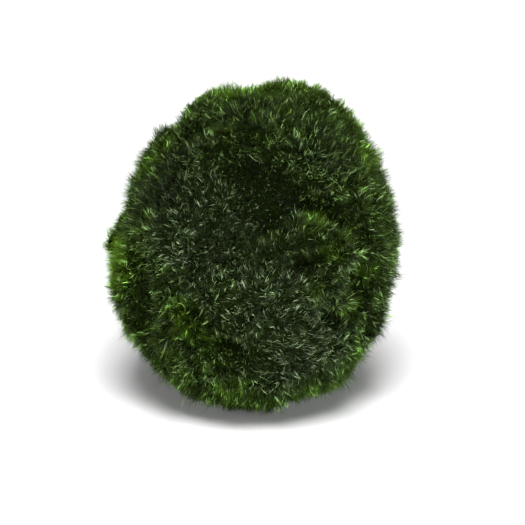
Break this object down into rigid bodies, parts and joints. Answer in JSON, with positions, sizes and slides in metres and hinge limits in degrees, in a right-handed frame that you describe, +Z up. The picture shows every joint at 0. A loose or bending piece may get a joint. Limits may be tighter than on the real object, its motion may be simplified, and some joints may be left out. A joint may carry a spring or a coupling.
{
  "type": "marimo moss ball",
  "caption": "Lumpy ball of soft green filamentous alga, a little taller than wide, that rests on a small flat spot pressed into its underside.",
  "frame": {"origin": "on the surface that the ball rests on, under the middle of its width and depth", "axes": "+Z up through the crown, -Y towards the viewer of the picture, +X to that viewer's right"},
  "size_m": [0.0512, 0.051, 0.0552],
  "materials": {
    "moss": null
  },
  "bodies": {
    "root": {"moss_ball": "moss"}
  },
  "joints": []
}
